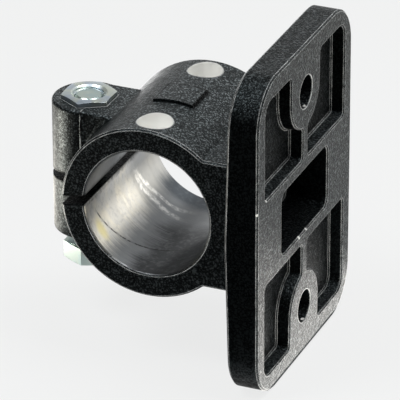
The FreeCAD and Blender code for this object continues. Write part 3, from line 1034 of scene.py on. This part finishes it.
@dataclass
class ClampBolt(Fastener):
    """The hexagon bolt: threaded up to its head, with a bevelled point and crown."""

    radius: float = 3.0 * MM
    groove: float = 0.52 * MM
    point: float = 0.6 * MM
    head_height: float = 4.0 * MM
    head_turn: float = math.radians(2.0)
    washer_rise: float = 0.2 * MM
    finish: ZincPlate = ZincPlate(
        "zinc_bolt", (0.56, 0.70, 0.69, 1.0), (0.64, 0.73, 0.67, 1.0), Ramp(0.3, 0.7, 0.28, 0.34)
    )

    def build(self) -> bpy.types.Object:
        """Carries one profile round the axis: point, thread, seat, flats and crown.

        Returns:
            The piece.
        """
        skin = Skin(self.axis_x, self.head_turn)
        seat = self.bottom + self.head_height
        level = self.levels(self.top, seat)
        cut = self.groove * Thread(self.pitch).share(level, skin.angle)
        cone = self.radius - self.point + (self.top - level)
        skin.rows(np.minimum(self.radius - cut, cone), level)
        outline = Hexagon(self.half_flats, self.head_turn).radius(skin.angle)
        skin.rows(self.land, seat)
        skin.rows(self.land, seat - self.washer_rise)
        skin.rows(outline, seat - self.washer_rise)
        skin.rows(outline, self.bottom + self.bevel(outline))
        skin.rows(self.land, self.bottom)
        return skin.mesh("bolt", ring=False)

    def dress(self, piece: bpy.types.Object) -> None:
        """Plates the bolt and puts it on its own body."""
        settle(piece, "bolt", Slot.BOLT, self.finish.material(), "clamp_bolt")


@dataclass
class ClampNut(Fastener):
    """The hexagon nut: bevelled crown, countersunk hole and a thread cut outwards from its bore."""

    bore: float = 3.05 * MM
    groove: float = 0.35 * MM
    sink: float = 0.7 * MM
    finish: ZincPlate = ZincPlate(
        "zinc_nut", (0.60, 0.67, 0.74, 1.0), (0.74, 0.78, 0.70, 1.0), Ramp(0.3, 0.7, 0.40, 0.48)
    )

    def build(self) -> bpy.types.Object:
        """Carries a closed profile round the axis: crown, flats, foot, threaded hole, countersink.

        Returns:
            The piece.
        """
        skin = Skin(self.axis_x, 0.0)
        mouth = self.bore + self.sink
        outline = Hexagon(self.half_flats, 0.0).radius(skin.angle)
        skin.rows(self.land, self.top)
        skin.rows(outline, self.top - self.bevel(outline))
        skin.rows(outline, self.bottom)
        skin.rows(mouth, self.bottom)
        level = self.levels(self.bottom, self.top)[1:-1]
        cut = self.groove * Thread(self.pitch).share(level, skin.angle)
        low_cone = mouth - (level - self.bottom)
        high_cone = mouth - (self.top - level)
        skin.rows(np.maximum(np.maximum(self.bore + cut, low_cone), high_cone), level)
        skin.rows(mouth, self.top)
        return skin.mesh("nut", ring=True)

    def dress(self, piece: bpy.types.Object) -> None:
        """Plates the nut and puts it on the clamp, which holds it still."""
        settle(piece, "clamp", Slot.NUT, self.finish.material(), "clamp_nut")


@dataclass
class Casting:
    """The casting: ring, neck, ear and flange, whose solid stays and is dressed."""

    node: bpy.types.Object
    bore_radius: float
    pin_radius: float
    pin_half: float
    ear_x: float
    face: float
    half_width: float
    half_height: float
    hole_rise: float
    seam_aside: float = 1.3 * MM
    rim_width: float = 1.5 * MM
    dark_line: Colour = (0.05, 0.05, 0.05, 1.0)
    # Painted highlight: the near-white tone of the two bright streaks in the bore.
    streak_highlight: Colour = (0.95, 0.94, 0.92, 1.0)

    def chips(self) -> tuple[Chip, ...]:
        """Places the chips on the flange's edges: its near side, recess, pockets and holes.

        Returns:
            The chips.
        """
        face, rise = self.face, self.hole_rise
        return (
            Chip((face - 0.2 * MM, -25.3 * MM, 8.3 * MM), 0.42 * MM),
            Chip((face - 0.15 * MM, -3.0 * MM, -7.05 * MM), 0.46 * MM),
            Chip((face - 0.15 * MM, 1.0 * MM, -7.05 * MM), 0.40 * MM),
            Chip((face - 0.2 * MM, -20.7 * MM, 9.5 * MM), 0.44 * MM),
            Chip((face, -20.9 * MM, -11.7 * MM), 0.34 * MM),
            Chip((face - 0.6 * MM, 0.6 * MM, rise - 3.4 * MM), 0.40 * MM),
            Chip((face - 0.6 * MM, 0.6 * MM, -rise - 3.4 * MM), 0.50 * MM),
        )

    def marks(self) -> tuple[ToolMark, ...]:
        """Lists the cutter's lines: one dark helix, and two bright streaks, painted highlights,
        that fade early.

        Returns:
            The lines.
        """
        first, faded, last = math.radians(-170.0), math.radians(-90.0), math.radians(-55.0)
        dark, bright = self.dark_line, self.streak_highlight
        return (
            ToolMark(1.23 * MM, 5.09 * MM, first, last, 0.34 * MM, 0.0, dark),
            ToolMark(6.5 * MM, 0.0, first, faded, 1.00 * MM, 5.0 * MM, bright),
            ToolMark(15.1 * MM, 2.7 * MM, first, faded, 0.90 * MM, 3.0 * MM, bright),
        )

    def dress(self) -> None:
        """Gives the solid its finish, with the chips and the cutter's lines that it shows."""
        finish = CoatedCasting(
            coat=PowderCoat(self.face, self.ear_x + self.seam_aside),
            bore=TurnedBore(self.bore_radius, Slit(self.bore_radius), self.marks()),
            pin_radius=self.pin_radius,
            pin_half=self.pin_half,
            rim=(self.half_width - self.rim_width, self.half_height - self.rim_width),
            chips=self.chips(),
        )
        self.node.data.materials.clear()
        self.node.data.materials.append(finish.material())
        LOG.info("%s: %d faces, coated", self.node.name, len(self.node.data.polygons))


@dataclass(frozen=True)
class Lamp:
    """A soft box or light card: its place, what it faces, its sides, its power and its colour."""

    name: str
    place: Point
    aim: Point
    sides: Pair
    watts: float
    colour: Point

    def build(self) -> None:
        """Hangs the lamp."""
        light = bpy.data.lights.new(self.name, "AREA")
        light.shape = "RECTANGLE"
        light.size, light.size_y = self.sides
        light.energy = self.watts
        light.color = self.colour
        lamp = put(self.name, light)
        lamp.location = self.place
        toward = Vector(self.aim) - Vector(self.place)
        lamp.rotation_euler = toward.to_track_quat("-Z", "Y").to_euler()
        lamp.visible_camera = False


@dataclass(frozen=True)
class PhotoCamera:
    """The photograph's viewpoint: a long lens, turned round and above the part."""

    azimuth: float = math.radians(22.777)
    elevation: float = math.radians(26.781)
    roll: float = math.radians(-0.178)
    distance: float = 852.2 * MM
    aside: float = 3.857 * MM
    above: float = -4.609 * MM
    focal_widths: float = 10.526
    nearest: float = 10.0 * MM

    def build(self) -> None:
        """Stands the camera so that it looks back along its own axis at the part."""
        flat = math.cos(self.elevation)
        back = Vector((
            math.sin(self.azimuth) * flat,
            -math.cos(self.azimuth) * flat,
            math.sin(self.elevation),
        ))
        level = Vector((math.cos(self.azimuth), math.sin(self.azimuth), 0.0))
        upright = back.cross(level)
        right = level * math.cos(self.roll) + upright * math.sin(self.roll)
        up = upright * math.cos(self.roll) - level * math.sin(self.roll)
        data = bpy.data.cameras.new("photo_camera")
        data.lens = self.focal_widths * data.sensor_width
        data.clip_start = self.nearest
        camera = put("photo_camera", data)
        place = back * self.distance + right * self.aside + up * self.above
        turn = Matrix((right, up, back)).transposed().to_4x4()
        camera.matrix_world = Matrix.Translation(place) @ turn
        bpy.context.scene.camera = camera


@dataclass
class Studio:
    """A pale table under soft boxes, with light cards on it.

    In reflections table and room are dark in front of the part, the table is dimmer at its right
    and the room at its far left.
    """

    floor_level: float
    floor_half: float = 1.5
    pale: Colour = (0.885, 0.890, 0.888, 1.0)
    zenith: Colour = (0.10, 0.105, 0.11, 1.0)
    dim: Colour = (0.12, 0.12, 0.125, 1.0)
    dusk: Colour = (0.34, 0.345, 0.35, 1.0)
    shade: Colour = (0.006, 0.006, 0.007, 1.0)
    fill: Colour = (0.25, 0.25, 0.25, 1.0)
    even_share: float = 0.90
    shadowed_share: float = 0.5
    front: Point = (-0.25, -0.97, 0.0)
    table_right: Ramp = Ramp(30.0 * MM, 100.0 * MM)
    table_front: Ramp = Ramp(15.0 * MM, 42.0 * MM)
    room_left: Ramp = Ramp(-0.90, -0.65)
    room_up: Ramp = Ramp(0.12, 0.85)
    room_front: Ramp = Ramp(0.0, 0.5)
    card_rise: float = 1.0 * MM
    card_aim: float = 0.1
    plain: Point = (1.0, 1.0, 1.0)
    cool: Point = (0.97, 0.99, 1.0)
    warm: Point = (1.0, 0.95, 0.84)
    cream: Point = (1.0, 0.96, 0.91)

    def build_floor(self) -> None:
        """Lays the table, which glows evenly to the camera and keeps a little of the shadow."""
        corners = np.array([(-1, -1), (1, -1), (1, 1), (-1, 1)], float) * self.floor_half
        points = np.column_stack([corners, np.full(len(corners), self.floor_level)])
        mesh = bpy.data.meshes.new("table")
        mesh.from_pydata(points, [], [tuple(range(len(points)))])
        floor = put("table", mesh)
        material, sheet = new_material("table")
        spot = sheet.place()
        aside = sheet.split(spot)[0]
        ahead = sheet.dot(spot, self.front)
        glow = sheet.tint(sheet.remap(aside, self.table_right), self.pale, self.dusk)
        glow = sheet.tint(sheet.remap(ahead, self.table_front), glow, self.shade)
        lit = sheet.diffuse(self.pale)
        shown = sheet.mix_shaders(self.even_share, lit, sheet.emit(self.pale))
        direct = sheet.mix_shaders(sheet.any_ray(Ray.CAMERA), lit, shown)
        mirror = sheet.mix_shaders(self.shadowed_share, sheet.emit(glow), sheet.diffuse(glow))
        mirrored = sheet.any_ray(Ray.GLOSSY, Ray.TRANSMISSION)
        surface = sheet.mix_shaders(mirrored, direct, mirror)
        sheet.add("OutputMaterial", {"Surface": surface})
        mesh.materials.append(material)
        floor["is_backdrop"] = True

    def build_world(self) -> None:
        """Surrounds the part with a room that is pale low down, dimmer above and dark in front."""
        world = bpy.data.worlds.new("studio")
        world.use_nodes = True
        sheet = NodeSheet(world.node_tree)
        toward = sheet.add("TexCoord").outputs["Generated"]
        right, _, up = sheet.split(toward)
        ahead = sheet.dot(toward, self.front)
        room = sheet.tint(sheet.remap(right, self.room_left), self.dim, self.pale)
        room = sheet.tint(sheet.remap(up, self.room_up), room, self.zenith)
        room = sheet.tint(sheet.remap(ahead, self.room_front), room, self.shade)
        direct = sheet.tint(sheet.any_ray(Ray.CAMERA), self.fill, self.pale)
        colour = sheet.tint(sheet.any_ray(Ray.GLOSSY, Ray.TRANSMISSION), direct, room)
        shader = sheet.add("Background", {"Color": colour, "Strength": 1.0})
        sheet.add("OutputWorld", {"Surface": shader.outputs[0]})
        bpy.context.scene.world = world

    def card(
        self, name: str, spot: Pair, lean: float, sides: Pair, watts: float, colour: Point
    ) -> Lamp:
        """Makes a light card that lies on the table and faces up.

        Args:
            name: its name.
            spot: its middle on the table.
            lean: how far along X the point above it that it faces is.
            sides: its sides.
            watts: its power.
            colour: its colour.

        Returns:
            The card.
        """
        x, y = spot
        place = (x, y, self.floor_level + self.card_rise)
        return Lamp(name, place, (x + lean, y, self.card_aim), sides, watts, colour)

    def build_lamps(self) -> None:
        """Hangs two soft boxes overhead and a light card behind, and lays cards on the table."""
        lamps = (
            Lamp("overhead", (0.18, 0.05, 0.48), ORIGIN, (0.26, 0.26), 1.7, self.cool),
            Lamp("overhead_front", (-0.20, -0.24, 0.46), ORIGIN, (0.22, 0.22), 1.5, self.cool),
            self.card("left_card", (-0.100, -0.030), MM, (0.042, 0.056), 0.140, self.warm),
            self.card("far_left_card", (-0.086, 0.017), MM, (0.052, 0.066), 0.038, self.warm),
            self.card("right_card", (0.080, -0.05), -MM, (0.07, 0.06), 0.045, self.warm),
            Lamp("back_card", (0.092, 0.131, 0.010), ORIGIN, (0.080, 0.078), 0.021, self.warm),
            self.card("far_card", (-0.13, 0.18), MM, (0.14, 0.12), 0.13, self.plain),
            self.card("foot_card", (0.032, 0.006), -MM, (0.060, 0.012), 0.0085, self.cream),
        )
        for lamp in lamps:
            lamp.build()

    def build(self) -> None:
        """Sets up the table, the room, the lamps and plain colour."""
        self.build_floor()
        self.build_world()
        self.build_lamps()
        bpy.context.scene.view_settings.view_transform = "Standard"


def mount_of(record: dict, name: str) -> dict:
    """Finds a mount in the record by its name.

    Args:
        record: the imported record.
        name: the mount's name.

    Returns:
        The mount.
    """
    return next(mount for mount in record["mounts"] if mount["name"] == name)


def main() -> None:
    """Builds the part's looks in order."""
    logging.basicConfig(level=logging.INFO, format="%(name)s %(message)s")
    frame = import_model()
    solid_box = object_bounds()
    record = frame["record"]

    axis_x = frame["joints"][0]["pos_m"][0]
    bore = mount_of(record, "tube_bore")
    pin = mount_of(record, "back_fixing_hole")
    holes = mount_of(record, "flange_bolts")
    casting = Casting(
        node=frame["nodes"]["clamp_body"],
        bore_radius=bore["dims"]["r_mm"] * MM,
        pin_radius=pin["dims"]["r_mm"] * MM,
        pin_half=pin["pos_m"][1],
        ear_x=axis_x,
        face=holes["pos_m"][0],
        half_width=solid_box[1].y,
        half_height=solid_box[1].z,
        hole_rise=holes["dims"]["spacing_y_mm"] / 2.0 * MM,
    )
    casting.dress()

    low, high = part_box("clamp_bolt")
    bolt = ClampBolt(axis_x, high.z, low.z)
    bolt.dress(bolt.build())
    low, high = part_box("clamp_nut")
    nut = ClampNut(axis_x, high.z, low.z)
    nut.dress(nut.build())

    Studio(floor_level=solid_box[0].z).build()
    PhotoCamera().build()


if __name__ == "__main__":
    main()
